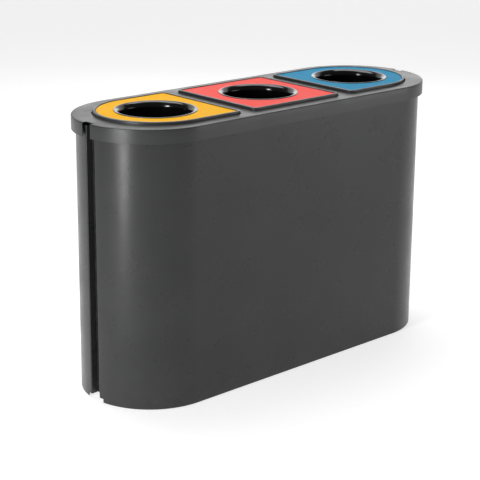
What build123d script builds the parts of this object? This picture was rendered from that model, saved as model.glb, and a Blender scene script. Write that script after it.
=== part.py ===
from build123d import *
import math
import os

# Litter bin for three waste streams: a stadium-plan sheet steel body with a
# lift-off lid, three coloured drop-in inserts and three liners with bails.
# Millimetres. Origin: floor level, centre of the plan. X runs along the bin,
# -Y is the front, Z is up.

# ---- driving dimensions ----
overall_length = 1000.0
overall_depth = 350.0
overall_height = 650.0
lid_overhang = 10.0
skirt_height = 32.0
sheet = 2.0
slot_width = 28.0
slot_depth = 14.0
insert_pitch = 310.0
insert_proud = 6.0
plate_recess = 1.5
aperture_radius = 80.0
collar_lip_radius = 94.5
collar_depth = 50.0
collar_proud = 1.5
floor_gap = 3.0
base_pan_level = 12.0

# ---- derived levels and outlines ----
lid_radius = overall_depth / 2
end_centre = overall_length / 2 - lid_radius
body_radius = lid_radius - lid_overhang
frame_top = overall_height
plate_top = frame_top - plate_recess
lid_top = frame_top - insert_proud
lid_underside = lid_top - sheet
skirt_bottom = lid_top - skirt_height
rail_top = lid_underside - 6.0
shell_top = rail_top
slot_face = end_centre + math.sqrt(body_radius ** 2 - (slot_width / 2) ** 2)
landing_outer = slot_face - slot_depth
landing_width = 16.0
post_face = landing_outer - sheet
post_half_width = slot_width / 2 + landing_width
post_lip = 12.0
post_gap = 2.0
return_overlap = 0.5
foot_notch_half_width = 27.0
foot_notch_height = 8.5
foot_notch_reach = 30.0
notch_inner = slot_face - 1.0

# ---- lid windows, seats and insert frames ----
frame_half_x = 136.5
frame_half_y = 139.5
frame_corner = 14.0
least_corner = 1.0
frame_rim = 7.0
frame_ledge = 8.0
frame_gap = 2.2
frame_end_radius = frame_half_y
plate_gap = 0.8
plate_edge = 0.8
plate_thickness = 4.0
plate_underside = plate_top - plate_thickness
ledge_thickness = 3.0
seat_drop = 12.0
seat_level = lid_underside - seat_drop
seat_ledge_reach = 4.0
collar_wall = 4.0
collar_body_radius = aperture_radius + 9.5
collar_body_depth = 14.0
collar_shoulder_depth = 20.0
nut_width = 12.0
nut_thickness = 8.0
nut_notch_count = 6
nut_notch_half = 4.0
plate_screw_radius = 1.5
plate_screw_head_radius = 2.8
plate_screw_reach = 2.5
plate_screw_edge = 4.5
plate_screw_head_height = 1.5
plate_screw_pitch_middle = 90.0
plate_screw_pitch_end = 55.0
seal_inset = 4.0
seal_width = 12.0

# ---- liners and bails ----
liner_half_x = 145.0
liner_half_y = 135.0
liner_corner = 30.0
liner_wall = 1.5
liner_floor_level = base_pan_level + sheet
liner_top = 468.0
rim_radius = 3.0
end_liner_inner = 165.0
end_liner_centre = 320.0
end_liner_ears = 295.0
bail_wire_radius = 3.0
bail_pivot_level = liner_top + 12.0
bail_reach = 60.0
bail_bend = 8.0
bail_arm_y = 118.0
bail_end_y = 136.0
grip_radius = 10.0
grip_length = 110.0
grip_edge = 3.0
ear_thickness = 3.0
ear_half_width = 22.0
ear_face_y = liner_half_y - liner_wall
ear_drop = 28.0
ear_rise = 10.0
ear_rivet_rise = 3.0
lug_offset = 14.0
lug_length = 8.0
lug_height = 6.0
lug_inset = 4.0
pin_clearance = 0.05

# ---- fixings ----
anchor_radius = 5.5
anchor_x = 155.0
anchor_y = 100.0
glide_x = 380.0
glide_y = 115.0
glide_radius = 18.0
glide_edge = 1.5
glide_screw_radius = 3.0
glide_head_radius = 5.5
glide_head_low = 2.0
glide_head_high = 5.0
rivet_radius = 2.0
rivet_hole_radius = 2.1
rivet_head_radius = 4.0
rivet_head_height = 1.2
post_rivet_first = 60.0
post_rivet_pitch = 180.0
post_rivet_count = 4


def stadium(length, width):
    """Flat stadium outline centred on the origin."""
    return SlotOverall(length, width)


def body_outline(inset=0.0):
    """The body's outer stadium, moved inwards by inset."""
    length = 2 * (end_centre + body_radius - inset)
    return stadium(length, 2 * (body_radius - inset))


def block(x_range, y_range, z_range):
    """Axis-aligned block between the given limits."""
    size = [high - low for low, high in (x_range, y_range, z_range)]
    centre = [(low + high) / 2 for low, high in (x_range, y_range, z_range)]
    return Pos(*centre) * Box(*size)


def prism(outline, bottom, top):
    """The flat outline extruded from one level up to another."""
    return Pos(0, 0, bottom) * extrude(outline, top - bottom)


def rectangle_between(x_range, y_range):
    """Flat rectangle between the given limits."""
    width = x_range[1] - x_range[0]
    depth = y_range[1] - y_range[0]
    return Pos(sum(x_range) / 2, sum(y_range) / 2) * Rectangle(width, depth)


def upright_cylinder(x, y, radius, bottom, top):
    """Vertical cylinder at a place in plan."""
    return Pos(x, y, (bottom + top) / 2) * Cylinder(radius, top - bottom)


def cross_cylinder(x, z, radius, y_low, y_high):
    """Cylinder along Y."""
    return Pos(x, (y_low + y_high) / 2, z) * Rot(90, 0, 0) * Cylinder(radius, y_high - y_low)


def mirrored_front_to_back(part):
    """The part reflected in the plane between front and back."""
    return part.mirror(Plane.XZ)


def d_outline(inner_x, centre_x, radius, corner, inset=0.0):
    """D-shaped outline: a straight inner edge and a semicircular end towards +X."""
    reach = radius - inset
    low = inner_x + inset
    straights = FilletPolyline((centre_x, reach), (low, reach), (low, -reach), (centre_x, -reach),
                               radius=max(corner - inset, least_corner))
    end = ThreePointArc((centre_x, -reach), (centre_x + reach, 0), (centre_x, reach))
    return make_face(straights + end)


def rounded_rectangle(half_x, half_y, corner, inset=0.0):
    """Rectangle with rounded corners, centred on the origin."""
    return RectangleRounded(2 * (half_x - inset), 2 * (half_y - inset),
                            max(corner - inset, least_corner))


def insert_outline(side, inset=0.0):
    """Outline of the insert at -1 (left), 0 (middle) or 1 (right), in place."""
    if side == 0:
        return rounded_rectangle(frame_half_x, frame_half_y, frame_corner, inset)
    inner = insert_pitch - frame_half_x
    outline = d_outline(inner, insert_pitch, frame_end_radius, frame_corner, inset)
    return outline if side > 0 else mirror(outline, Plane.YZ)


def liner_outline(side, inset=0.0):
    """Outline of the liner at -1, 0 or 1, in place."""
    if side == 0:
        return rounded_rectangle(liner_half_x, liner_half_y, liner_corner, inset)
    outline = d_outline(end_liner_inner, end_liner_centre, liner_half_y, liner_corner, inset)
    return outline if side > 0 else mirror(outline, Plane.YZ)


def liner_ear_x(side):
    """Where a liner's bail ears stand along X."""
    return side * end_liner_ears


# ---- body ----
def post_rivet_places():
    """Side, y and z of each rivet that joins a landing flange to a post."""
    rivet_y = slot_width / 2 + landing_width / 2 + 1
    levels = [post_rivet_first + post_rivet_pitch * step for step in range(post_rivet_count)]
    return [(side, y, z) for side in (-1, 1) for y in (-rivet_y, rivet_y) for z in levels]


def along_x(side, y, z, radius, near, far):
    """Cylinder along X on one side of the bin, between two distances from the centre."""
    middle = side * (near + far) / 2
    return Pos(middle, y, z) * Rot(0, 90, 0) * Cylinder(radius, far - near)


def drill_post_rivets(part):
    """Cut the rivet holes that a shell or a post needs."""
    for side, y, z in post_rivet_places():
        part -= along_x(side, y, z, rivet_hole_radius, post_face - sheet - 1, landing_outer + 1)
    return part


def post_rivets():
    """Rivets through the landing flanges and the post webs."""
    rivets = []
    inner = post_face - sheet
    for side, y, z in post_rivet_places():
        rivet = along_x(side, y, z, rivet_radius, inner, landing_outer)
        head = along_x(side, y, z, rivet_head_radius, landing_outer, landing_outer + rivet_head_height)
        tail = along_x(side, y, z, rivet_head_radius, inner - rivet_head_height, inner)
        rivets.append(rivet + head + tail)
    return Compound(children=rivets)


def front_shell():
    """Front half of the body wall, with returns and landing flanges at the slots."""
    skin = body_outline() - body_outline(sheet)
    skin &= rectangle_between((-overall_length, overall_length), (-overall_depth, -slot_width / 2))
    edge = -slot_width / 2
    for side in (-1, 1):
        reach = sorted((side * landing_outer - side * sheet, side * (slot_face - return_overlap)))
        skin += rectangle_between(reach, (edge - sheet, edge))
        landing = sorted((side * landing_outer, side * (landing_outer - sheet)))
        skin += rectangle_between(landing, (edge - landing_width, edge))
    shell = prism(skin, floor_gap, shell_top)
    for side in (-1, 1):
        reach = sorted((side * (landing_outer - foot_notch_reach), side * overall_length))
        shell -= block(reach, (-foot_notch_half_width, 0), (0, floor_gap + foot_notch_height))
    return drill_post_rivets(shell)


def end_post(side):
    """Channel that closes one end slot; its web is the recessed face."""
    web = sorted((side * post_face, side * (post_face - sheet)))
    lips = sorted((side * post_face, side * (post_face - post_lip)))
    channel = rectangle_between(web, (-post_half_width, post_half_width))
    for edge in (-1, 1):
        lip = sorted((edge * post_half_width, edge * (post_half_width - sheet)))
        channel += rectangle_between(lips, lip)
    return drill_post_rivets(prism(channel, base_pan_level + sheet, shell_top))


def top_rail():
    """Angle inside the top of the front shell; the lid sits on its flange."""
    rail_width = 18.0
    rail_depth = 22.0
    front_half = rectangle_between((-overall_length, overall_length),
                                   (-overall_depth, -post_half_width - post_gap))
    upright = (body_outline(sheet) - body_outline(2 * sheet)) & front_half
    flange = (body_outline(sheet) - body_outline(sheet + rail_width)) & front_half
    rail = prism(upright, rail_top - rail_depth, rail_top)
    return rail + prism(flange, rail_top - sheet, rail_top)


def base_pan():
    """Floor plate with an upturned edge, notched round the end posts and drilled for anchors."""
    flange_height = 20.0
    outline = body_outline(sheet)
    pan = prism(outline, base_pan_level, base_pan_level + sheet)
    upstand = outline - body_outline(2 * sheet)
    pan += prism(upstand, base_pan_level, base_pan_level + flange_height)
    for side in (-1, 1):
        reach = sorted((side * (landing_outer - sheet - return_overlap), side * overall_length))
        clear = post_half_width + post_gap / 2
        pan -= block(reach, (-clear, clear), (0, overall_height))
    for x in (-anchor_x, anchor_x):
        for y in (-anchor_y, anchor_y):
            pan -= upright_cylinder(x, y, anchor_radius, 0, overall_height)
    for x, y in glide_places():
        pan -= upright_cylinder(x, y, glide_screw_radius, 0, overall_height)
    return pan


def glide_places():
    """Six places in plan: four near the corners and two at mid-length."""
    return [(x, y) for x in (-glide_x, 0, glide_x) for y in (-glide_y, glide_y)]


def base_glides():
    """Rubber glides under the base pan, counterbored from below for their screws."""
    glides = []
    for x, y in glide_places():
        glide = upright_cylinder(x, y, glide_radius, 0, base_pan_level)
        glide = chamfer(glide.edges().sort_by(Axis.Z)[0], glide_edge)
        glide -= upright_cylinder(x, y, glide_screw_radius, 0, base_pan_level)
        glide -= upright_cylinder(x, y, glide_head_radius, 0, glide_head_high)
        glides.append(glide)
    return Compound(children=glides)


def glide_screws():
    """Screws that hold the glides, driven upwards into the base pan."""
    screws = []
    for x, y in glide_places():
        shank = upright_cylinder(x, y, glide_screw_radius, glide_head_high, base_pan_level + sheet)
        head = upright_cylinder(x, y, glide_head_radius, glide_head_low, glide_head_high)
        screws.append(shank + head)
    return Compound(children=screws)


def liner_guide():
    """Angle on the base pan, behind the front shell, that locates the liners."""
    guide_half_length = 320.0
    guide_height = 20.0
    guide_foot = 14.0
    gap = 1.5
    face = -(liner_half_y + gap)
    reach = (-guide_half_length, guide_half_length)
    upright = block(reach, (face - sheet, face), (liner_floor_level, liner_floor_level + guide_height))
    foot = block(reach, (face - guide_foot, face), (liner_floor_level, liner_floor_level + sheet))
    return upright + foot


# ---- liners ----
def liner(side):
    """Sheet steel liner with a beaded rim, open at the top."""
    outer = liner_outline(side)
    tub = prism(outer - liner_outline(side, liner_wall), liner_floor_level, liner_top)
    tub += prism(outer, liner_floor_level, liner_floor_level + liner_wall)
    bead = liner_outline(side, -rim_radius) - liner_outline(side, liner_wall)
    tub += prism(bead, liner_top - 2 * rim_radius, liner_top)
    for x, y, z in ear_rivet_places(side):
        wall = sorted((y, y + math.copysign(3 * ear_thickness, y)))
        tub -= cross_cylinder(x, z, rivet_hole_radius, *wall)
    return tub


def ear_rivet_places(side):
    """Plan and level of the rivets that hold a liner's two bail ears."""
    level = liner_top - ear_drop / 2 - ear_rivet_rise
    offsets = (-ear_half_width / 2, ear_half_width / 2)
    face = ear_face_y - ear_thickness
    return [(liner_ear_x(side) + step, edge * face, level) for step in offsets for edge in (-1, 1)]


def bail_ears(side):
    """Pair of ears riveted inside a liner, each with two lugs that the bail rests on."""
    x = liner_ear_x(side)
    back = ear_face_y
    front = ear_face_y - ear_thickness
    plate = block((x - ear_half_width, x + ear_half_width), (front, back),
                  (liner_top - ear_drop, bail_pivot_level + ear_rise))
    lug_top = bail_pivot_level - bail_wire_radius - pin_clearance
    for direction in (-1, 1):
        reach = sorted((x + direction * lug_offset, x + direction * (lug_offset + lug_length)))
        plate += block(reach, (bail_arm_y - lug_inset, front), (lug_top - lug_height, lug_top))
    hole = bail_wire_radius + pin_clearance
    plate -= cross_cylinder(x, bail_pivot_level, hole, front - 1, back + 1)
    for rivet_x, rivet_y, level in ear_rivet_places(side):
        if rivet_y > 0:
            plate -= cross_cylinder(rivet_x, level, rivet_hole_radius, front - 1, back + 1)
    return Compound(children=[plate, mirrored_front_to_back(plate)])


def ear_rivets(side):
    """Rivets that hold one liner's bail ears."""
    rivets = []
    for x, y, z in ear_rivet_places(side):
        edge = math.copysign(1, y)
        inner = abs(y)
        outer = liner_half_y
        shank = sorted((edge * inner, edge * outer))
        head = sorted((edge * (inner - rivet_head_height), edge * inner))
        tail = sorted((edge * outer, edge * (outer + rivet_head_height)))
        rivet = cross_cylinder(x, z, rivet_radius, *shank)
        rivet += cross_cylinder(x, z, rivet_head_radius, *head)
        rivet += cross_cylinder(x, z, rivet_head_radius, *tail)
        rivets.append(rivet)
    return Compound(children=rivets)


def bail(side):
    """Wire bail lying towards +X, its turned-out ends in the ears."""
    x = liner_ear_x(side)
    level = bail_pivot_level
    far = x + bail_reach
    points = [(x, -bail_end_y, level), (x, -bail_arm_y, level), (far, -bail_arm_y, level),
              (far, bail_arm_y, level), (x, bail_arm_y, level), (x, bail_end_y, level)]
    path = FilletPolyline(*points, radius=bail_bend)
    section = Plane(origin=points[0], z_dir=(0, 1, 0)) * Circle(bail_wire_radius)
    return sweep(section, path=path)


def bail_grip(side):
    """Moulded grip round the middle of a bail."""
    x = liner_ear_x(side) + bail_reach
    grip = cross_cylinder(x, bail_pivot_level, grip_radius, -grip_length / 2, grip_length / 2)
    grip = fillet(grip.edges().filter_by(GeomType.CIRCLE), grip_edge)
    bore = cross_cylinder(x, bail_pivot_level, bail_wire_radius, -grip_length, grip_length)
    return grip - bore


# ---- lid ----
def lid_panel():
    """Pressed lid: top plate with three windows and a skirt, notched at both ends."""
    outline = stadium(overall_length, overall_depth)
    inner = stadium(overall_length - 2 * sheet, overall_depth - 2 * sheet)
    panel = prism(outline, skirt_bottom, lid_top)
    edge_radius = 2.5
    panel = fillet(panel.edges().group_by(Axis.Z)[-1], edge_radius)
    panel -= prism(inner, skirt_bottom, lid_underside)
    for side in (-1, 0, 1):
        panel -= prism(insert_outline(side, -frame_gap), skirt_bottom, overall_height)
    for side in (-1, 1):
        reach = sorted((side * notch_inner, side * overall_length))
        panel -= block(reach, (-slot_width / 2, slot_width / 2), (0, overall_height))
    return panel


def insert_seat(side):
    """Angle ring under one lid window; the insert stands on its ledge."""
    wall = insert_outline(side, -frame_gap - sheet) - insert_outline(side, -frame_gap)
    ledge = insert_outline(side, -frame_gap - sheet) - insert_outline(side, seat_ledge_reach)
    ring = prism(wall, seat_level - sheet, lid_underside)
    return ring + prism(ledge, seat_level - sheet, seat_level)


def lid_channel(side):
    """Stiffening channel under the lid between two windows."""
    half_width = 12.0
    half_length = 140.0
    channel_depth = 14.0
    centre = side * insert_pitch / 2
    outer = block((centre - half_width, centre + half_width), (-half_length, half_length),
                  (lid_underside - channel_depth, lid_underside))
    hollow = block((centre - half_width + sheet, centre + half_width - sheet),
                   (-overall_depth, overall_depth),
                   (lid_underside - channel_depth, lid_underside - sheet))
    return outer - hollow


def lid_seal():
    """Rubber strip, front and rear, between the lid and the top rails."""
    strip = body_outline(seal_inset) - body_outline(seal_inset + seal_width)
    strip -= Rectangle(2 * overall_length, 2 * (post_half_width + post_gap))
    return prism(strip, rail_top, lid_underside)


# ---- inserts ----
def insert_frame(side):
    """Moulded rim of an insert, with a ledge inside that carries the colour plate."""
    wall = insert_outline(side) - insert_outline(side, frame_rim)
    ledge = insert_outline(side) - insert_outline(side, frame_rim + frame_ledge)
    frame = prism(wall, seat_level, frame_top)
    top_edge = 1.2
    frame = fillet(frame.edges().group_by(Axis.Z)[-1], top_edge)
    frame += prism(ledge, plate_underside - ledge_thickness, plate_underside)
    for x, y in plate_screw_places(side):
        frame -= upright_cylinder(x, y, plate_screw_radius, seat_level, plate_underside)
    return frame


def plate_screw_places(side):
    """Six places on the frame's ledge for the screws that hold the colour plate."""
    centre = side * insert_pitch
    ledge_y = frame_half_y - frame_rim - plate_screw_edge
    pitch = plate_screw_pitch_middle if side == 0 else plate_screw_pitch_end
    first = -pitch if side == 0 else -side * pitch * 2
    last = pitch if side == 0 else 0
    steps = (first, (first + last) / 2, last)
    return [(centre + step, y) for step in steps for y in (-ledge_y, ledge_y)]


def plate_screws(side):
    """Screws driven up through the frame's ledge into the colour plate."""
    screws = []
    ledge_bottom = plate_underside - ledge_thickness
    for x, y in plate_screw_places(side):
        shank = upright_cylinder(x, y, plate_screw_radius, ledge_bottom, plate_underside + plate_screw_reach)
        head = upright_cylinder(x, y, plate_screw_head_radius, ledge_bottom - plate_screw_head_height,
                                ledge_bottom)
        screws.append(shank + head)
    return Compound(children=screws)


def colour_plate(side):
    """Coloured plate with a round hole for the collar."""
    plate = prism(insert_outline(side, frame_rim + plate_gap), plate_underside, plate_top)
    centre = side * insert_pitch
    plate = fillet(plate.edges().group_by(Axis.Z)[-1], plate_edge)
    plate -= upright_cylinder(centre, 0, collar_body_radius, plate_underside, overall_height)
    for x, y in plate_screw_places(side):
        plate -= upright_cylinder(x, y, plate_screw_radius, plate_underside,
                                  plate_underside + plate_screw_reach)
    return plate


def aperture_collar(side):
    """Moulded bell-mouth collar that lines the aperture."""
    lip_top = plate_top + collar_proud
    lip_round = 2.0
    crown = collar_lip_radius - lip_round
    mouth_width = crown - aperture_radius
    mouth_depth = 14.0
    mouth_low = lip_top - mouth_depth
    shoulder = plate_top - collar_shoulder_depth
    bottom = plate_top - collar_depth
    bell = EllipticalCenterArc((crown, mouth_low), mouth_width, mouth_depth, 90, arc_size=90)
    rim = EllipticalCenterArc((crown, plate_top), lip_round, collar_proud, 0, arc_size=90)
    tube = Polyline((aperture_radius, mouth_low), (aperture_radius, bottom),
                    (aperture_radius + collar_wall, bottom), (aperture_radius + collar_wall, shoulder),
                    (collar_body_radius, plate_top - collar_body_depth),
                    (collar_body_radius, plate_top), (collar_lip_radius, plate_top))
    profile = Plane.XZ * make_face(Curve() + [bell, rim, tube])
    return Pos(side * insert_pitch, 0, 0) * revolve(profile, Axis.Z)


def collar_nut(side):
    """Ring that locks the collar under its plate, with six spanner notches."""
    centre = side * insert_pitch
    outer = collar_body_radius + nut_width
    top = plate_underside
    ring = upright_cylinder(centre, 0, outer, top - nut_thickness, top)
    ring -= upright_cylinder(centre, 0, collar_body_radius, top - nut_thickness, top)
    across = (-nut_notch_half, nut_notch_half)
    along = (outer - nut_notch_half, outer + nut_notch_half)
    for step in range(nut_notch_count):
        turn = Pos(centre, 0, 0) * Rot(0, 0, 360 / nut_notch_count * step)
        ring -= turn * block(along, across, (top - nut_thickness, top))
    return ring


# ---- assembly ----
side_names = {-1: "left", 0: "middle", 1: "right"}
colour_names = {-1: "yellow", 0: "red", 1: "blue"}


def build_nodes():
    """Every sub-part of the bin by its node name."""
    front = front_shell()
    rail = top_rail()
    guide = liner_guide()
    nodes = {
        "front_shell": front,
        "rear_shell": mirrored_front_to_back(front),
        "left_end_post": end_post(-1),
        "right_end_post": end_post(1),
        "post_rivets": post_rivets(),
        "front_top_rail": rail,
        "rear_top_rail": mirrored_front_to_back(rail),
        "base_pan": base_pan(),
        "base_glides": base_glides(),
        "glide_screws": glide_screws(),
        "front_liner_guide": guide,
        "rear_liner_guide": mirrored_front_to_back(guide),
        "lid_panel": lid_panel(),
        "lid_seal": lid_seal(),
        "lid_channel_left": lid_channel(-1),
        "lid_channel_right": lid_channel(1),
    }
    for side, name in side_names.items():
        nodes["liner_" + name] = liner(side)
        nodes["bail_ears_" + name] = bail_ears(side)
        nodes["ear_rivets_" + name] = ear_rivets(side)
        nodes["bail_" + name] = bail(side)
        nodes["bail_grip_" + name] = bail_grip(side)
        nodes["insert_seat_" + name] = insert_seat(side)
        nodes["insert_frame_" + name] = insert_frame(side)
        nodes["plate_screws_" + name] = plate_screws(side)
        nodes["colour_plate_" + colour_names[side]] = colour_plate(side)
        nodes["aperture_collar_" + name] = aperture_collar(side)
        nodes["collar_nut_" + name] = collar_nut(side)
    return nodes


os.makedirs("parts", exist_ok=True)
for node_name, solid in build_nodes().items():
    export_step(solid, "parts/" + node_name + ".step")
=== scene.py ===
import math
import bmesh
import bpy
from mathutils import Matrix, Vector


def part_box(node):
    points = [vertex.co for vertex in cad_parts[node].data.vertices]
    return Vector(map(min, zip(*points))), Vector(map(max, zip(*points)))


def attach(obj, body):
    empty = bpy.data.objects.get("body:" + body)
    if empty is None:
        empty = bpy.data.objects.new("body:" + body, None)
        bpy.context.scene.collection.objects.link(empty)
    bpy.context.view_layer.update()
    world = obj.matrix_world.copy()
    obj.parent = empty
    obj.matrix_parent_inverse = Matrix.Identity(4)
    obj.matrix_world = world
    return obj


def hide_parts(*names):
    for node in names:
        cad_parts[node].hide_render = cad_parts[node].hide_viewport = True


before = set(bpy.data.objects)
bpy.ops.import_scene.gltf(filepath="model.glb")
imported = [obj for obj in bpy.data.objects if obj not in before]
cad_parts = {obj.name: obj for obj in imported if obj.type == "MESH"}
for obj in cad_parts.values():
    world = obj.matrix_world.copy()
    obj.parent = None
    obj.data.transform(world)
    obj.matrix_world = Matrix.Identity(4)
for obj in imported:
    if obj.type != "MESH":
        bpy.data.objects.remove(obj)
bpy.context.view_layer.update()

# Metres. X runs along the bin, -Y is the front, Z is up, the floor is z = 0.
MM = 0.001
SIDES = {-1: "left", 0: "middle", 1: "right"}
COLOURS = {-1: "yellow", 0: "red", 1: "blue"}
ARC_STEPS = 96
RUN_STEPS = 20
NOTCH_STEPS = 8
CORNER_STEPS = 12
EDGE_STEPS = 16
D_END_STEPS = 64


def box_of(node):
    """A CAD node's lowest and highest corners as plain vectors."""
    low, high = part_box(node)
    return Vector(low), Vector(high)


# ---- sizes read from the CAD frame ----
shell_low, shell_high = box_of("front_shell")
lid_low, lid_high = box_of("lid_panel")
frame_low, frame_high = box_of("insert_frame_middle")
end_low, end_high = box_of("insert_frame_right")
plate_low, plate_high = box_of("colour_plate_red")
collar_low, collar_high = box_of("aperture_collar_right")
SHEET = 2 * MM
LID_RADIUS = (lid_high.y - lid_low.y) / 2
LID_TOP = lid_high.z
END_CENTRE = 325 * MM
BODY_RADIUS = -shell_low.y
PITCH = (collar_low.x + collar_high.x) / 2
SLOT_HALF = -shell_high.y


# ---- outlines: closed lists of (x, y), all with the same point count for any inset ----
def arc(centre, radius, start, end, steps):
    """Points on an arc, both ends included."""
    points = []
    for step in range(steps + 1):
        angle = math.radians(start + (end - start) * step / steps)
        points.append((centre[0] + radius * math.cos(angle), centre[1] + radius * math.sin(angle)))
    return points


def straight(start, end, steps):
    """Points strictly between two ends."""
    span = [(b - a) / (steps + 1) for a, b in zip(start, end)]
    return [(start[0] + span[0] * k, start[1] + span[1] * k) for k in range(1, steps + 1)]


def stadium(inset, radius=LID_RADIUS, centre=END_CENTRE):
    """The lid's outline moved inwards by inset, anticlockwise from the right end's front."""
    reach = radius - inset
    notch = math.degrees(math.asin(SLOT_HALF / reach))
    right = arc((centre, 0), reach, -90, -notch, ARC_STEPS // 2)
    right += arc((centre, 0), reach, -notch, notch, NOTCH_STEPS)[1:]
    right += arc((centre, 0), reach, notch, 90, ARC_STEPS // 2)[1:]
    left = [(-x, -y) for x, y in right]
    back = straight(right[-1], left[0], RUN_STEPS)
    front = straight(left[-1], right[0], RUN_STEPS)
    return right + back + left + front


def rounded_box(half_x, half_y, corner, least, inset):
    """Rectangle with rounded corners, anticlockwise from the right side's front corner."""
    x, y = half_x - inset, half_y - inset
    radius = max(corner - inset, least)
    points = []
    corners = ((x - radius, -y + radius, -90), (x - radius, y - radius, 0),
               (-x + radius, y - radius, 90), (-x + radius, -y + radius, 180))
    for k, (cx, cy, start) in enumerate(corners):
        points += arc((cx, cy), radius, start, start + 90, CORNER_STEPS)
        following = corners[(k + 1) % 4]
        turn = math.radians(following[2])
        begin = (following[0] + radius * math.cos(turn), following[1] + radius * math.sin(turn))
        points += straight(points[-1], begin, EDGE_STEPS)
    return points


def d_shape(inner, centre, radius, corner, least, inset):
    """Straight inner edge and a semicircular end towards +X, anticlockwise."""
    reach = radius - inset
    low = inner + inset
    bend = max(corner - inset, least)
    points = arc((centre, 0), reach, -90, 90, D_END_STEPS)
    points += straight(points[-1], (low + bend, reach), EDGE_STEPS)
    points += arc((low + bend, reach - bend), bend, 90, 180, CORNER_STEPS)
    points += straight(points[-1], (low, -reach + bend), EDGE_STEPS)
    points += arc((low + bend, -reach + bend), bend, 180, 270, CORNER_STEPS)
    points += straight(points[-1], (centre, -reach), EDGE_STEPS)
    return points


def flipped(points):
    """Points reflected in X, order reversed so that they stay anticlockwise."""
    return [(-x, y) for x, y in reversed(points)]


FRAME_CORNER = 14 * MM
LINER_CORNER = 30 * MM
LINER_RIM = 3 * MM
LEAST_CORNER = 1 * MM


def insert_outline(side, inset):
    """Outline of one insert frame moved inwards by inset."""
    if side == 0:
        return rounded_box(frame_high.x, frame_high.y, FRAME_CORNER, LEAST_CORNER, inset)
    points = d_shape(end_low.x, PITCH, end_high.y, FRAME_CORNER, LEAST_CORNER, inset)
    return points if side > 0 else flipped(points)


def liner_outline(side, inset):
    """Outline of one liner's wall moved inwards by inset."""
    low, high = box_of("liner_" + SIDES[abs(side)])
    if side == 0:
        return rounded_box(high.x - LINER_RIM, high.y - LINER_RIM, LINER_CORNER, LEAST_CORNER, inset)
    reach = high.y - LINER_RIM
    points = d_shape(low.x + LINER_RIM, high.x - LINER_RIM - reach, reach, LINER_CORNER,
                     LEAST_CORNER, inset)
    return points if side > 0 else flipped(points)


# ---- mesh builders ----
def finish_mesh(bm, name, crease=35):
    """Turn a bmesh into an object with smooth faces and sharp creases."""
    bmesh.ops.recalc_face_normals(bm, faces=bm.faces)
    mesh = bpy.data.meshes.new(name)
    bm.to_mesh(mesh)
    bm.free()
    mesh.shade_smooth()
    mesh.set_sharp_from_angle(angle=math.radians(crease))
    piece = bpy.data.objects.new(name, mesh)
    bpy.context.collection.objects.link(piece)
    return piece


def add_loop(bm, points, z):
    """Vertices of one closed level."""
    return [bm.verts.new((x, y, z)) for x, y in points]


def bridge(bm, lower, upper):
    """Quads between two closed levels with the same point count."""
    count = len(lower)
    for k in range(count):
        following = (k + 1) % count
        bm.faces.new((lower[k], lower[following], upper[following], upper[k]))


def round_section(corners, steps=4):
    """Cross-section corners (inset, z, radius) turned into points with rounded corners."""
    points = []
    count = len(corners)
    for k, (u, v, radius) in enumerate(corners):
        if radius == 0:
            points.append((u, v))
            continue
        here = Vector((u, v))
        before = (Vector(corners[k - 1][:2]) - here).normalized()
        after = (Vector(corners[(k + 1) % count][:2]) - here).normalized()
        half = before.angle(after) / 2
        cut = radius / math.tan(half)
        centre = here + (before + after).normalized() * (radius / math.sin(half))
        start = here + before * cut - centre
        end = here + after * cut - centre
        for step in range(steps + 1):
            share = step / steps
            spoke = start.lerp(end, share).normalized() * radius
            points.append(tuple(centre + spoke))
    return points


def loft(bm, outline, section, closed=True):
    """Sweep a cross-section of (inset, z) points round an outline."""
    levels = [add_loop(bm, outline(u), v) for u, v in section]
    for lower, upper in zip(levels, levels[1:]):
        bridge(bm, lower, upper)
    if closed:
        bridge(bm, levels[-1], levels[0])
    return levels


def lathe(bm, profile, steps, centre_x=0.0):
    """Turn (radius, z) points about the vertical line at centre_x."""
    levels = []
    for radius, z in profile:
        circle = [(centre_x + x, y) for x, y in arc((0, 0), radius, 0, 360, steps)[:-1]]
        levels.append(add_loop(bm, circle, z))
    for lower, upper in zip(levels, levels[1:] + levels[:1]):
        bridge(bm, lower, upper)


def sheet_wall(bm, path, levels, skip=lambda x, y, row: False):
    """Open wall: a plan path raised through several levels; skip leaves faces out."""
    rows = [[bm.verts.new((x, y, z)) for x, y in path] for z in levels]
    for row, (lower, upper) in enumerate(zip(rows, rows[1:])):
        for k in range(len(path) - 1):
            middle = [(a + b) / 2 for a, b in zip(path[k], path[k + 1])]
            if not skip(middle[0], middle[1], row):
                bm.faces.new((lower[k], lower[k + 1], upper[k + 1], upper[k]))
    loose = [v for v in bm.verts if not v.link_faces]
    bmesh.ops.delete(bm, geom=loose, context="VERTS")


def thicken(piece, thickness, bevel, angle=50):
    """Give a sheet its thickness and softened edges."""
    solid = piece.modifiers.new("thickness", "SOLIDIFY")
    solid.thickness = thickness
    solid.offset = -1
    solid.use_even_offset = True
    soften(piece, bevel, angle)


def soften(piece, bevel, angle=50):
    """Small rounded edges with true face normals."""
    edge = piece.modifiers.new("edges", "BEVEL")
    edge.width = bevel
    edge.segments = 2
    edge.limit_method = "ANGLE"
    edge.angle_limit = math.radians(angle)
    edge.harden_normals = True


def dress(piece, material, slot, body, *nodes):
    """Material, body and the CAD nodes that the piece stands for; the slot argument is not used."""
    piece.data.materials.append(material)
    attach(piece, body)
    if nodes:
        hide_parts(*nodes)
    return piece


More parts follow.
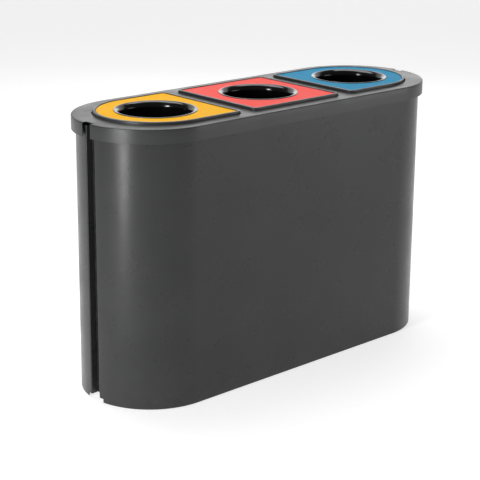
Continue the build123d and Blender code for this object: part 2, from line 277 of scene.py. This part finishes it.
# ---- materials ----
class Nodes:
    """Short helpers for building one material's node tree."""

    def __init__(self, name):
        self.material = bpy.data.materials.new(name)
        self.material.use_nodes = True
        self.tree = self.material.node_tree
        self.shader = self.tree.nodes["Principled BSDF"]
        self.place = self.add("ShaderNodeTexCoord").outputs["Object"]

    def add(self, kind, **settings):
        """One node with some of its settings."""
        node = self.tree.nodes.new(kind)
        for key, value in settings.items():
            setattr(node, key, value)
        return node

    def link(self, source, target):
        """Join an output to an input."""
        self.tree.links.new(source, target)

    def noise(self, scale, detail=3.0, roughness=0.55, stretch=None):
        """Noise over the object's own coordinates."""
        node = self.add("ShaderNodeTexNoise")
        node.inputs["Scale"].default_value = scale
        node.inputs["Detail"].default_value = detail
        node.inputs["Roughness"].default_value = roughness
        source = self.place
        if stretch:
            mapping = self.add("ShaderNodeMapping")
            mapping.inputs["Scale"].default_value = stretch
            self.link(self.place, mapping.inputs["Vector"])
            source = mapping.outputs["Vector"]
        self.link(source, node.inputs["Vector"])
        return node.outputs["Fac"]

    def ramp(self, value, low, high, start=0.0, end=1.0):
        """Map a value from one range to another."""
        node = self.add("ShaderNodeMapRange")
        node.inputs["From Min"].default_value = start
        node.inputs["From Max"].default_value = end
        node.inputs["To Min"].default_value = low
        node.inputs["To Max"].default_value = high
        self.link(value, node.inputs["Value"])
        return node.outputs["Result"]

    def mix(self, share, first, second, blend="MIX"):
        """Blend two colours; each is a colour or an output."""
        node = self.add("ShaderNodeMix", data_type="RGBA", blend_type=blend)
        for socket, value in ((node.inputs[0], share), (node.inputs[6], first), (node.inputs[7], second)):
            if isinstance(value, bpy.types.NodeSocket):
                self.link(value, socket)
            elif isinstance(value, (int, float)):
                socket.default_value = value
            else:
                socket.default_value = (*value, 1.0)
        return node.outputs[2]

    def height(self):
        """Height above the floor."""
        node = self.add("ShaderNodeSeparateXYZ")
        self.link(self.place, node.inputs[0])
        return node.outputs["Z"]

    def math(self, operation, first, second):
        """Arithmetic on two values; each is a number or an output."""
        node = self.add("ShaderNodeMath", operation=operation)
        for socket, value in zip(node.inputs, (first, second)):
            if isinstance(value, bpy.types.NodeSocket):
                self.link(value, socket)
            else:
                socket.default_value = value
        return node.outputs[0]

    def bump(self, value, strength, distance, under=None):
        """A bump layer over an optional one below it."""
        node = self.add("ShaderNodeBump")
        node.inputs["Strength"].default_value = strength
        node.inputs["Distance"].default_value = distance
        self.link(value, node.inputs["Height"])
        if under:
            self.link(under, node.inputs["Normal"])
        return node.outputs["Normal"]

    def set(self, colour, roughness, normal=None, **fixed):
        """Join colour, roughness and normal to the shader and set its plain sockets."""
        for socket, value in (("Base Color", colour), ("Roughness", roughness), ("Normal", normal)):
            if value is None:
                continue
            if isinstance(value, bpy.types.NodeSocket):
                self.link(value, self.shader.inputs[socket])
            elif isinstance(value, (int, float)):
                self.shader.inputs[socket].default_value = value
            else:
                self.shader.inputs[socket].default_value = (*value, 1.0)
        for key, value in fixed.items():
            self.shader.inputs[key.replace("_", " ")].default_value = value
        return self.material


def powder_coat(name, base, rough, gloss, dusty=0.0):
    """Fine-textured powder coat: pebbled skin, faint cloudiness, rubbed edges, dust low down."""
    n = Nodes(name)
    cloud = n.noise(5, 4)
    speck = n.noise(2200, 2)
    darker = tuple(c * 0.86 for c in base)
    lighter = tuple(c * 1.16 for c in base)
    colour = n.mix(n.ramp(cloud, 0, 1, 0.35, 0.65), darker, lighter)
    colour = n.mix(n.ramp(speck, 0, 0.3, 0.52, 0.75), colour, tuple(c * 1.9 for c in base))
    scuff = n.noise(30, 5, 0.7, stretch=(0.35, 0.35, 3.0))
    colour = n.mix(n.ramp(scuff, 0, 0.22, 0.62, 0.78), colour, tuple(c * 2.0 for c in base))
    if dusty:
        low = n.ramp(n.height(), dusty, 0, 0.0, 0.12)
        dust = n.math("MULTIPLY", low, n.ramp(n.noise(40, 4), 0.3, 1, 0.3, 0.7))
        colour = n.mix(dust, colour, (0.22, 0.21, 0.2))
    worn = n.add("ShaderNodeNewGeometry").outputs["Pointiness"]
    rub = n.math("MULTIPLY", n.ramp(worn, 0, 0.5, 0.53, 0.6), n.ramp(n.noise(90, 3), 0, 1, 0.4, 0.7))
    colour = n.mix(rub, colour, tuple(min(c * 3.2, 0.4) for c in base))
    roughness = n.ramp(n.noise(14, 4), rough - 0.05, rough + 0.07, 0.3, 0.7)
    waves = n.bump(n.noise(7, 1), 0.05, 0.004)
    pebbles = n.bump(n.noise(1500, 3, 0.6), 0.16, 0.0004, waves)
    return n.set(colour, roughness, pebbles, Specular_IOR_Level=gloss)


def coloured_plate(name, base, warm):
    """Satin coloured plastic sheet with a slight mottle and fine handling marks."""
    n = Nodes(name)
    mottle = n.noise(60, 3)
    colour = n.mix(n.ramp(mottle, 0, 0.55, 0.4, 0.68), base, warm)
    grime = n.noise(16, 5, 0.65)
    colour = n.mix(n.ramp(grime, 0, 0.12, 0.6, 0.8), colour, tuple(c * 0.55 for c in base))
    marks = n.noise(120, 4, 0.7, stretch=(1.0, 0.12, 1.0))
    roughness = n.ramp(marks, 0.34, 0.5, 0.35, 0.7)
    skin = n.bump(n.noise(700, 2), 0.06, 0.0003, n.bump(n.noise(25, 2), 0.05, 0.001))
    return n.set(colour, roughness, skin, Specular_IOR_Level=0.01)


def black_gloss(name):
    """Polished black moulding with faint swirl marks and dust specks."""
    n = Nodes(name)
    dust = n.noise(900, 2)
    colour = n.mix(n.ramp(dust, 0, 0.35, 0.66, 0.8), (0.004, 0.004, 0.0045), (0.03, 0.03, 0.03))
    roughness = n.ramp(n.noise(70, 4, 0.7), 0.1, 0.2, 0.35, 0.7)
    skin = n.bump(n.noise(220, 2), 0.03, 0.0003)
    return n.set(colour, roughness, skin, Specular_IOR_Level=0.5)


def moulded_plastic(name, base, rough):
    """Spark-textured moulding."""
    n = Nodes(name)
    colour = n.mix(n.ramp(n.noise(35, 4), 0, 1, 0.35, 0.7), tuple(c * 0.88 for c in base),
                   tuple(c * 1.12 for c in base))
    roughness = n.ramp(n.noise(50, 3), rough - 0.06, rough + 0.06, 0.35, 0.65)
    skin = n.bump(n.noise(1800, 2), 0.14, 0.0003)
    return n.set(colour, roughness, skin)


def galvanised(name, base, scale=55):
    """Zinc spangle: each grain with its own shade and gloss."""
    n = Nodes(name)
    grains = n.add("ShaderNodeTexVoronoi")
    grains.inputs["Scale"].default_value = scale
    n.link(n.place, grains.inputs["Vector"])
    tint = n.add("ShaderNodeSeparateXYZ")
    n.link(grains.outputs["Color"], tint.inputs[0])
    colour = n.mix(tint.outputs["X"], tuple(c * 0.72 for c in base), tuple(c * 1.12 for c in base))
    stain = n.noise(9, 5)
    colour = n.mix(n.ramp(stain, 0, 0.3, 0.55, 0.75), colour, (0.3, 0.29, 0.27))
    roughness = n.ramp(tint.outputs["Y"], 0.32, 0.55)
    skin = n.bump(n.noise(300, 3), 0.08, 0.0004)
    return n.set(colour, roughness, skin, Metallic=0.85)


def rubber(name):
    """Matte black rubber with a dusty bloom."""
    n = Nodes(name)
    colour = n.mix(n.ramp(n.noise(60, 4), 0, 0.6, 0.5, 0.8), (0.018, 0.018, 0.018), (0.06, 0.058, 0.055))
    skin = n.bump(n.noise(900, 2), 0.2, 0.0003)
    return n.set(colour, n.ramp(n.noise(80, 2), 0.7, 0.85), skin)


body_paint = powder_coat("anthracite_body_coat", (0.02, 0.0204, 0.0206), 0.29, 0.36, dusty=0.05)
lid_paint = powder_coat("anthracite_lid_coat", (0.024, 0.0246, 0.025), 0.34, 0.42)
post_paint = powder_coat("black_post_coat", (0.012, 0.012, 0.0124), 0.5, 0.15)
frame_plastic = moulded_plastic("dark_grey_moulding", (0.05, 0.052, 0.053), 0.38)
plate_paints = {
    -1: coloured_plate("yellow_sheet", (0.92, 0.47, 0.0), (0.89, 0.42, 0.001)),
    0: coloured_plate("red_sheet", (0.9, 0.1, 0.085), (0.87, 0.085, 0.072)),
    1: coloured_plate("blue_sheet", (0.006, 0.235, 0.42), (0.006, 0.21, 0.4)),
}
collar_black = black_gloss("polished_black")
nut_black = moulded_plastic("black_nut_moulding", (0.02, 0.02, 0.02), 0.5)
grip_black = moulded_plastic("black_grip_moulding", (0.03, 0.03, 0.03), 0.55)
zinc_sheet = galvanised("galvanised_sheet", (0.5, 0.51, 0.52))
zinc_pan = galvanised("galvanised_pan", (0.42, 0.43, 0.44), 40)
zinc_wire = galvanised("zinc_wire", (0.6, 0.61, 0.62), 300)
zinc_fastener = galvanised("zinc_fastener", (0.55, 0.55, 0.54), 500)
black_rubber = rubber("black_rubber")


# ---- body shells ----
SHELL_BOTTOM, SHELL_TOP = shell_low.z, shell_high.z
SLOT_DEPTH = 14 * MM
LANDING = 16 * MM
NOTCH_HALF = 27 * MM
NOTCH_TOP = SHELL_BOTTOM + 8.5 * MM


def shell_path():
    """Visible side of the front shell in plan: flange, return, end, front, end, return, flange."""
    slot_angle = math.degrees(math.asin(SLOT_HALF / BODY_RADIUS))
    slot_x = END_CENTRE + math.sqrt(BODY_RADIUS ** 2 - SLOT_HALF ** 2)
    flange_x = slot_x - SLOT_DEPTH - SHEET
    bend = 1.2
    left_arc = arc((-END_CENTRE, 0), BODY_RADIUS, 180 + slot_angle + bend, 270, ARC_STEPS)
    bend_radius = 2.2 * MM
    corner = (-slot_x, -SLOT_HALF)
    rounding = []
    start = Vector((corner[0] + bend_radius, corner[1]))
    end = Vector(left_arc[0])
    for step in range(7):
        share = step / 6
        weight = (1 - share) ** 2, 2 * share * (1 - share), share ** 2
        rounding.append(tuple(start * weight[0] + Vector(corner) * weight[1] + end * weight[2]))
    flange = [(-flange_x, -SLOT_HALF - LANDING), (-flange_x, -SLOT_HALF - 8 * MM),
              (-flange_x, -SLOT_HALF - 1 * MM), (-flange_x - 1 * MM, -SLOT_HALF)]
    left = flange + rounding + left_arc[1:]
    right = [(-x, y) for x, y in reversed(left)]
    return left + straight(left[-1], right[0], 24) + right


def body_shell(name, facing):
    """One half of the body wall; facing is 1 for the front and -1 for the back."""
    path = [(x, y * facing) for x, y in shell_path()][::facing]
    rows = 16
    levels = [SHELL_BOTTOM] + [NOTCH_TOP + (SHELL_TOP - NOTCH_TOP) * k / rows for k in range(rows + 1)]
    bm = bmesh.new()
    sheet_wall(bm, path, levels,
               lambda x, y, row: row == 0 and abs(y) < NOTCH_HALF and abs(x) > END_CENTRE)
    piece = finish_mesh(bm, name, 30)
    if (piece.data.polygons[len(piece.data.polygons) // 2].normal.y > 0) == (facing > 0):
        piece.data.flip_normals()
    thicken(piece, SHEET, 0.5 * MM)
    return piece


dress(body_shell("front_wall", 1), body_paint, "body_paint", "body", "front_shell")
dress(body_shell("rear_wall", -1), body_paint, "body_paint", "body", "rear_shell")


# ---- lid ----
SKIRT_BOTTOM = lid_low.z
BAND = 12 * MM
FOLD = 2.5 * MM
WINDOW_GAP = 2.2 * MM


def lid_skin():
    """Skirt, folded edge and pierced top of the lid as one sheet."""
    bm = bmesh.new()
    section = [(0, SKIRT_BOTTOM), (0, SKIRT_BOTTOM + 4 * MM), (0, (SKIRT_BOTTOM + LID_TOP) / 2)]
    section += [(FOLD - FOLD * math.cos(math.radians(a)), LID_TOP - FOLD + FOLD * math.sin(math.radians(a)))
                for a in range(0, 91, 15)]
    section.append((BAND, LID_TOP))
    levels = loft(bm, stadium, section, closed=False)
    inner_x = END_CENTRE + LID_RADIUS - BAND
    for face in list(bm.faces):
        centre = face.calc_center_median()
        if abs(centre.y) < SLOT_HALF and abs(centre.x) > inner_x - 1 * MM:
            bm.faces.remove(face)
    border = [bm.edges.get((levels[-1][k], levels[-1][k - 1])) or
              bm.edges.new((levels[-1][k], levels[-1][k - 1])) for k in range(len(levels[-1]))]
    for side in SIDES:
        window = add_loop(bm, insert_outline(side, -WINDOW_GAP), LID_TOP)
        border += [bm.edges.new((window[k], window[k - 1])) for k in range(len(window))]
    bmesh.ops.triangle_fill(bm, use_beauty=True, use_dissolve=False, edges=border)
    for vertex in [v for v in bm.verts if not v.link_faces]:
        bm.verts.remove(vertex)
    bmesh.ops.remove_doubles(bm, verts=bm.verts, dist=1e-6)
    piece = finish_mesh(bm, "lid_skin", 40)
    if max(piece.data.polygons, key=lambda face: face.area).normal.z < 0:
        piece.data.flip_normals()
    thicken(piece, SHEET, 0.35 * MM, 60)
    return piece


dress(lid_skin(), lid_paint, "lid_paint", "lid", "lid_panel")


# ---- inserts ----
FRAME_TOP = frame_high.z
FRAME_BOTTOM = frame_low.z
RIM = 7 * MM
LEDGE = 8 * MM
PLATE_TOP = plate_high.z
PLATE_BOTTOM = plate_low.z
PLATE_GAP = 0.8 * MM
COLLAR_BODY = 89.5 * MM


def insert_frame(side):
    """Rim with rounded top edges and the ledge inside it."""
    corners = [
        (0, FRAME_BOTTOM, 0.6 * MM), (RIM, FRAME_BOTTOM, 0.6 * MM),
        (RIM, PLATE_BOTTOM - 3 * MM, 0), (RIM + LEDGE, PLATE_BOTTOM - 3 * MM, 0.5 * MM),
        (RIM + LEDGE, PLATE_BOTTOM, 0.5 * MM), (RIM, PLATE_BOTTOM, 0),
        (RIM, FRAME_TOP, 1.2 * MM), (0, FRAME_TOP, 1.6 * MM),
    ]
    bm = bmesh.new()
    loft(bm, lambda inset: insert_outline(side, inset), round_section(corners))
    return finish_mesh(bm, "frame_" + SIDES[side], 40)


def colour_plate(side):
    """Flat plate with a round hole and eased edges."""
    node = "colour_plate_" + COLOURS[side]
    centre_x = side * PITCH
    hole = COLLAR_BODY
    edge = RIM + PLATE_GAP
    ease = 0.8 * MM
    bm = bmesh.new()

    def outline(inset):
        return insert_outline(side, inset)

    rim_section = [(edge + 10 * MM, PLATE_BOTTOM), (edge, PLATE_BOTTOM)]
    rim_section += [(edge + ease - ease * math.cos(math.radians(a)),
                     PLATE_TOP - ease + ease * math.sin(math.radians(a))) for a in range(0, 91, 18)]
    rim_section.append((edge + 10 * MM, PLATE_TOP))
    levels = loft(bm, outline, rim_section, closed=False)
    spokes = [Vector((x - centre_x, y)).normalized() * hole for x, y in outline(edge + 10 * MM)]
    ring = [(centre_x + spoke.x, spoke.y) for spoke in spokes]
    top_ring = add_loop(bm, ring, PLATE_TOP)
    low_ring = add_loop(bm, ring, PLATE_BOTTOM)
    bridge(bm, levels[-1], top_ring)
    bridge(bm, top_ring, low_ring)
    bridge(bm, low_ring, levels[0])
    piece = finish_mesh(bm, "plate_" + COLOURS[side], 40)
    return dress(piece, plate_paints[side], "plate_" + COLOURS[side], "insert_" + SIDES[side], node)


def collar(side):
    """Bell-mouth collar: low rounded lip, flared mouth, straight throat."""
    aperture = 80 * MM
    lip = collar_high.x - PITCH
    lip_round = 2 * MM
    crown = lip - lip_round
    lip_top = collar_high.z
    mouth_depth = 14 * MM
    body = COLLAR_BODY
    wall = 4 * MM
    profile = []
    for a in range(0, 91, 15):
        angle = math.radians(a)
        profile.append((crown + lip_round * math.cos(angle),
                        PLATE_TOP + (lip_top - PLATE_TOP) * math.sin(angle)))
    for a in range(96, 181, 6):
        angle = math.radians(a)
        profile.append((crown + (crown - aperture) * math.cos(angle),
                        lip_top - mouth_depth + mouth_depth * math.sin(angle)))
    bottom = collar_low.z
    profile += [(aperture, lip_top - 30 * MM), (aperture, bottom + 1 * MM), (aperture + 1 * MM, bottom),
                (aperture + wall, bottom), (aperture + wall, PLATE_TOP - 20 * MM),
                (body, PLATE_TOP - 14 * MM), (body, PLATE_TOP)]
    bm = bmesh.new()
    lathe(bm, profile, 160, side * PITCH)
    piece = finish_mesh(bm, "collar_" + SIDES[side], 40)
    node = "aperture_collar_" + SIDES[side]
    return dress(piece, collar_black, "collar_black", "insert_" + SIDES[side], node)


for side, side_name in SIDES.items():
    dress(insert_frame(side), frame_plastic, "frame_plastic", "insert_" + side_name,
          "insert_frame_" + side_name)
    colour_plate(side)
    collar(side)


# ---- liners and bails ----
def liner(side):
    """Liner with swaged ribs, a rolled rim and a flat floor."""
    low, high = box_of("liner_" + SIDES[side])
    wall = 1.5 * MM
    swage = 1.2 * MM
    rolls = LINER_RIM
    outer = [(6 * MM, low.z), (1.5 * MM, low.z + 1 * MM), (0, low.z + 5 * MM)]
    inner = [(wall, low.z + 5 * MM), (wall + 1.5 * MM, low.z + 2.5 * MM), (7 * MM, low.z + wall)]
    rib_levels = [low.z + 60 * MM, low.z + 72 * MM, low.z + 330 * MM, low.z + 342 * MM]
    for level in rib_levels:
        for offset, depth in ((-5 * MM, 0), (-2 * MM, swage), (2 * MM, swage), (5 * MM, 0)):
            outer.append((depth, level + offset))
            inner.append((wall + depth, level + offset))
    rim_low = high.z - 2 * rolls
    outer.append((0, rim_low))
    for a in range(-90, 136, 25):
        angle = math.radians(a)
        outer.append((-rolls / 2 - rolls / 2 * math.cos(angle), high.z - rolls + rolls * math.sin(angle)))
    outer.append((wall / 2, high.z - 0.3 * MM))
    inner.append((wall, high.z - 1.2 * MM))
    bm = bmesh.new()
    levels = loft(bm, lambda inset: liner_outline(side, inset), outer + inner[::-1], closed=False)
    bm.faces.new(levels[0][::-1])
    bm.faces.new(levels[-1])
    piece = finish_mesh(bm, "tub_" + SIDES[side], 60)
    return dress(piece, zinc_sheet, "galvanised", "liner_" + SIDES[side], "liner_" + SIDES[side])


def wire_tube(name, points, bend, radius, steps=16):
    """Round wire along straight runs joined by arcs."""
    route = [Vector(points[0])]
    for before, corner, after in zip(points, points[1:], points[2:]):
        corner = Vector(corner)
        inwards = (Vector(before) - corner).normalized()
        onwards = (Vector(after) - corner).normalized()
        centre = corner + (inwards + onwards) * bend
        for step in range(9):
            spoke = (-onwards).slerp(-inwards, step / 8)
            route.append(centre + spoke * bend)
    route.append(Vector(points[-1]))
    bm = bmesh.new()
    rings = []
    for k, here in enumerate(route):
        ahead = (route[min(k + 1, len(route) - 1)] - route[max(k - 1, 0)]).normalized()
        across = ahead.cross(Vector((0, 0, 1))).normalized()
        ring = []
        for step in range(steps):
            angle = 2 * math.pi * step / steps
            offset = across * (math.cos(angle) * radius) + Vector((0, 0, math.sin(angle) * radius))
            ring.append(bm.verts.new(here + offset))
        rings.append(ring)
    for lower, upper in zip(rings, rings[1:]):
        bridge(bm, lower, upper)
    bm.faces.new(rings[0][::-1])
    bm.faces.new(rings[-1])
    return finish_mesh(bm, name, 40)


def bail(side):
    """Wire bail and its ribbed grip."""
    name = SIDES[side]
    low, high = box_of("bail_" + name)
    wire = (high.z - low.z) / 2
    level = (high.z + low.z) / 2
    pivot_x = low.x + wire
    far_x = high.x - wire
    arm_y = 118 * MM
    points = [(pivot_x, low.y, level), (pivot_x, -arm_y, level), (far_x, -arm_y, level),
              (far_x, arm_y, level), (pivot_x, arm_y, level), (pivot_x, high.y, level)]
    tube = wire_tube("bail_wire_" + name, points, 8 * MM, wire)
    dress(tube, zinc_wire, "wire_zinc", "bail_" + name, "bail_" + name)
    grip_low, grip_high = box_of("bail_grip_" + name)
    length = grip_high.y - grip_low.y
    reach = (grip_high.z - grip_low.z) / 2
    profile = [(wire, -length / 2)]
    ribs = 11
    for k in range(ribs * 4 + 1):
        share = k / (ribs * 4)
        along = -length / 2 + 1.5 * MM + (length - 3 * MM) * share
        swell = reach - 1.6 * MM + 1.6 * MM * abs(math.sin(math.pi * ribs * share))
        profile.append((swell, along))
    profile.append((wire, length / 2))
    bm = bmesh.new()
    lathe(bm, profile, 40)
    turn = Matrix.Rotation(math.radians(90), 4, "X")
    bmesh.ops.transform(bm, matrix=Matrix.Translation((far_x, 0, level)) @ turn, verts=bm.verts)
    grip = finish_mesh(bm, "grip_" + name, 50)
    dress(grip, grip_black, "grip_plastic", "bail_" + name, "bail_grip_" + name)


for side in SIDES:
    liner(side)
    bail(side)


# ---- CAD nodes that keep their own shape ----
KEPT = {
    "left_end_post": post_paint, "right_end_post": post_paint, "post_rivets": zinc_fastener,
    "front_top_rail": zinc_pan, "rear_top_rail": zinc_pan, "base_pan": zinc_pan,
    "base_glides": black_rubber, "glide_screws": zinc_fastener,
    "front_liner_guide": zinc_pan, "rear_liner_guide": zinc_pan,
    "lid_seal": black_rubber, "lid_channel_left": zinc_pan, "lid_channel_right": zinc_pan,
}
for side_name in SIDES.values():
    KEPT["insert_seat_" + side_name] = post_paint
    KEPT["bail_ears_" + side_name] = zinc_sheet
    KEPT["ear_rivets_" + side_name] = zinc_fastener
    KEPT["plate_screws_" + side_name] = zinc_fastener
    KEPT["collar_nut_" + side_name] = nut_black
for node, material in KEPT.items():
    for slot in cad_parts[node].material_slots:
        slot.material = material


# ---- stage, light and camera ----
def studio_floor():
    """Pale floor that curves up into a pale wall far behind."""
    bm = bmesh.new()
    half = 14.0
    bend = 3.0
    back = 7.0
    profile = [(-half, 0), (back, 0)]
    profile += [(back + bend * math.sin(math.radians(a)), bend - bend * math.cos(math.radians(a)))
                for a in range(6, 91, 6)]
    profile.append((back + bend, 9.0))
    rows = [[bm.verts.new((x, y, z)) for x in (-half, half)] for y, z in profile]
    for lower, upper in zip(rows, rows[1:]):
        bm.faces.new((lower[0], lower[1], upper[1], upper[0]))
    floor = finish_mesh(bm, "studio_floor", 60)
    floor.rotation_euler.z = -CAMERA_YAW
    n = Nodes("pale_floor")
    n.set((0.55, 0.55, 0.55), 0.9, Emission_Color=(1, 1, 1, 1), Emission_Strength=0.66)
    floor.data.materials.append(n.material)
    return floor


def softbox(name, place, target, size, power, tone=(1, 1, 1)):
    """Rectangular area light aimed at a point."""
    data = bpy.data.lights.new(name, "AREA")
    data.shape = "RECTANGLE"
    data.size, data.size_y = size
    data.energy = power
    data.color = tone
    lamp = bpy.data.objects.new(name, data)
    lamp.location = place
    lamp.rotation_euler = (Vector(target) - Vector(place)).to_track_quat("-Z", "Y").to_euler()
    lamp.visible_camera = False
    bpy.context.collection.objects.link(lamp)
    return lamp


CAMERA_PLACE = (-2.1754, -2.3593, 1.2922)
CAMERA_YAW = math.radians(41.95)
CAMERA_PITCH = math.radians(15.31)
CAMERA_ROLL = math.radians(0.46)
CAMERA_LENS = 103.3
CAMERA_SHIFT = -0.11


def make_camera():
    """Camera at the viewing angle, given by its yaw from +Y, its pitch down and its roll."""
    forward = Vector((math.sin(CAMERA_YAW) * math.cos(CAMERA_PITCH),
                      math.cos(CAMERA_YAW) * math.cos(CAMERA_PITCH), -math.sin(CAMERA_PITCH)))
    level = Vector((math.cos(CAMERA_YAW), -math.sin(CAMERA_YAW), 0))
    upright = level.cross(forward)
    right = level * math.cos(CAMERA_ROLL) + upright * math.sin(CAMERA_ROLL)
    up = upright * math.cos(CAMERA_ROLL) - level * math.sin(CAMERA_ROLL)
    turn = Matrix((right, up, -forward)).transposed()
    data = bpy.data.cameras.new("camera")
    data.sensor_width = 36
    data.lens = CAMERA_LENS
    data.shift_y = CAMERA_SHIFT
    data.clip_end = 100
    camera = bpy.data.objects.new("camera", data)
    camera.matrix_world = Matrix.Translation(CAMERA_PLACE) @ turn.to_4x4()
    bpy.context.collection.objects.link(camera)
    bpy.context.scene.camera = camera


make_camera()
studio_floor()
softbox("key", (-3.2, -0.5, 1.6), (-0.4, 0, 0.4), (0.6, 1.2), 20)
softbox("edge", (-1.9, -0.34, 0.62), (-0.45, 0, 0.4), (0.26, 1.1), 18)
softbox("top", (0.4, 1.0, 3.4), (0, 0, 0.5), (3.2, 2.0), 90)
softbox("front", (2.4, -2.6, 0.7), (0.1, 0, 0.3), (1.6, 1.0), 20)
softbox("back", (2.5, 2.6, 1.35), (0, 0, 0.65), (2.2, 0.9), 7)

world = bpy.data.worlds.new("studio")
world.use_nodes = True
world.node_tree.nodes["Background"].inputs["Color"].default_value = (1, 1, 1, 1)
world.node_tree.nodes["Background"].inputs["Strength"].default_value = 0.1
bpy.context.scene.world = world
bpy.context.scene.view_settings.view_transform = "Standard"
